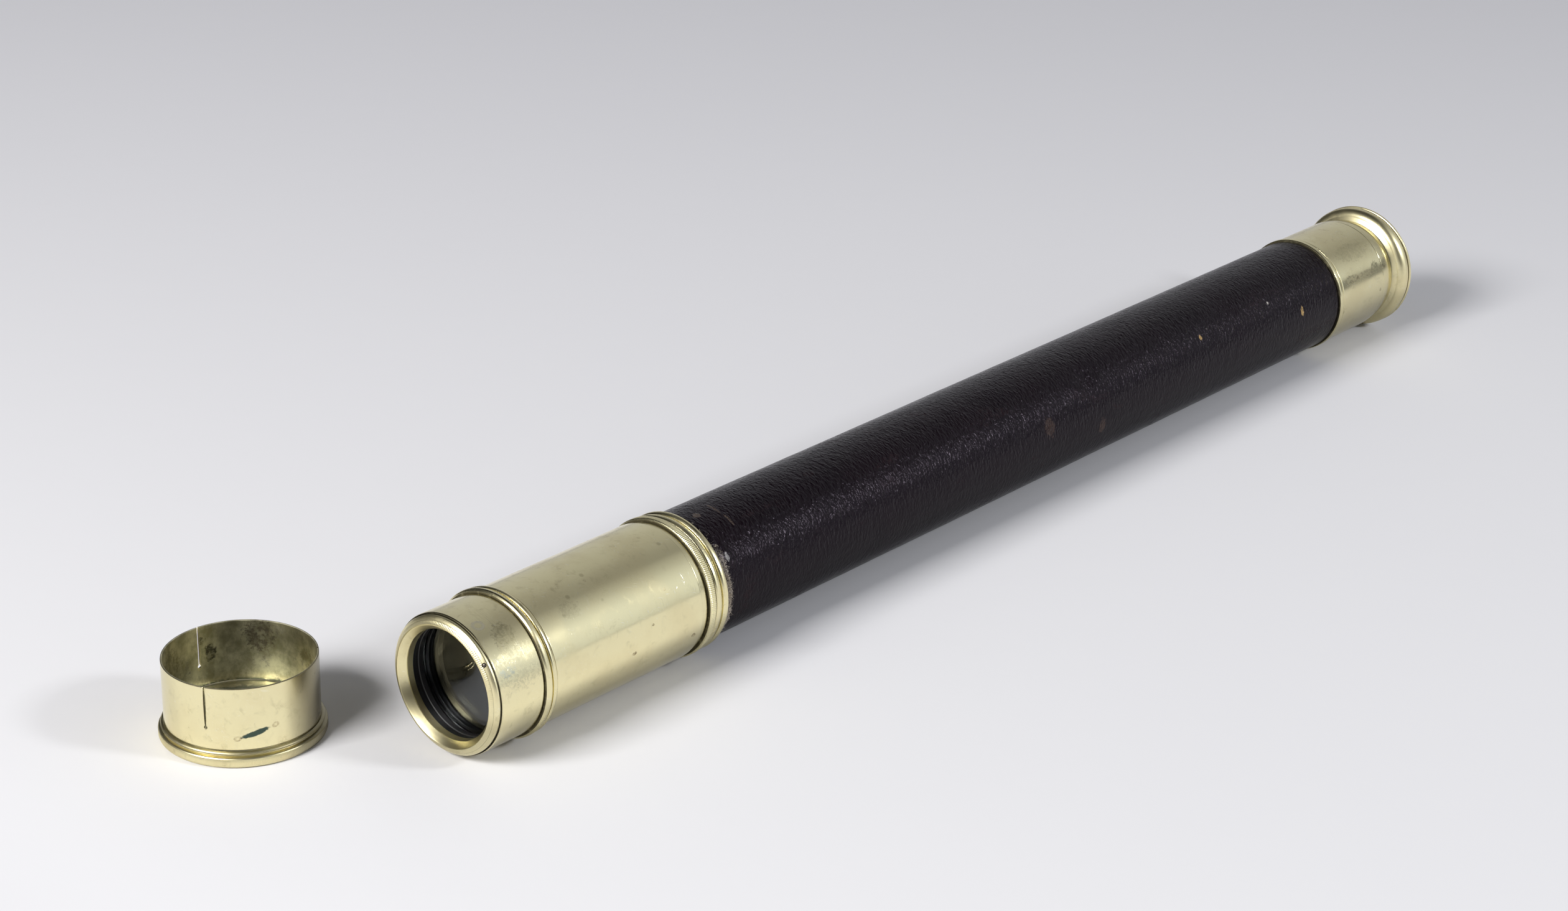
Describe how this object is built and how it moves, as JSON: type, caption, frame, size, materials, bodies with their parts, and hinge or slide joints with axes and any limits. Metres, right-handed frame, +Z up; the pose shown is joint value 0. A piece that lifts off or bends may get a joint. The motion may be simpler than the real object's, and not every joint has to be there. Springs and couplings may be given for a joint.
{
  "type": "hand telescope",
  "caption": "Single-draw brass hand telescope with leather-covered barrel, sliding ray shade, eyepiece shutter and a push-on lens cap standing beside it.",
  "frame": {"origin": "on the surface the set stands on, under the middle of the bounding box of telescope and cap", "axes": "+X along the optical axis from the objective to the eye end, +Z up, the cap stands on the +Y side"},
  "size_m": [0.732, 0.1412, 0.0626],
  "materials": {
    "brass_lacquered": "polished, lightly scratched and spotted",
    "brass_cap": "polished outside, tarnished inside",
    "brass_draw": "polished",
    "brass_inner": "dull, unpolished",
    "blackened_brass": "matte black inside finish",
    "steel_screw": "darkened",
    "leather": "fine pebble grain, worn and scuffed",
    "guide_cloth": "thin felted lining",
    "optical_glass": "polished"
  },
  "bodies": {
    "barrel": {"lens_ring": "brass_lacquered", "ring_screw": "steel_screw", "objective_cell": "blackened_brass", "crown_lens": "optical_glass", "flint_lens": "optical_glass", "lens_retainer": "blackened_brass", "objective_tube": "brass_lacquered", "joint_ring": "brass_lacquered", "front_collar": "brass_lacquered", "barrel_tube": "brass_inner", "leather_cover": "leather", "barrel_stop_1": "blackened_brass", "barrel_stop_2": "blackened_brass", "rear_collar": "brass_lacquered", "rear_end_ring": "brass_lacquered", "draw_guide": "guide_cloth"},
    "shade": {"shade_sleeve": "brass_lacquered", "shade_band": "brass_lacquered", "shade_tube": "brass_lacquered", "shade_bush": "brass_lacquered"},
    "draw": {"draw_tube": "brass_draw", "draw_stop_ring": "brass_inner", "erector_tube": "brass_inner", "erector_cell_front": "blackened_brass", "erector_lens_front": "optical_glass", "erector_stop": "blackened_brass", "erector_cell_rear": "blackened_brass", "erector_lens_rear": "optical_glass", "eyepiece_tube": "brass_inner", "field_lens": "optical_glass", "field_stop": "blackened_brass", "eye_lens_cell": "blackened_brass", "eye_lens": "optical_glass", "eye_flange": "brass_lacquered", "eye_plate": "brass_lacquered", "shutter_pivot": "steel_screw"},
    "shutter": {"eye_shutter": "brass_lacquered"},
    "cap": {"cap_sleeve": "brass_cap", "cap_end": "brass_cap"}
  },
  "joints": [
    {"name": "ray_shade_slide", "type": "slide", "parent": "barrel", "child": "shade", "axis": [-1, 0, 0], "range_m": [0, 0.09]},
    {"name": "draw_slide", "type": "slide", "parent": "barrel", "child": "draw", "axis": [1, 0, 0], "range_m": [0, 0.2]},
    {"name": "shutter_swing", "type": "hinge", "parent": "draw", "child": "shutter", "pos_m": [0.3629, -0.03925, 0.0418], "axis": [1, 0, 0], "range_deg": [0, 75]},
    {"name": "cap_lift", "type": "slide", "parent": "barrel", "child": "cap", "axis": [0, 0, 1], "range_m": [0, 0.1]}
  ]
}
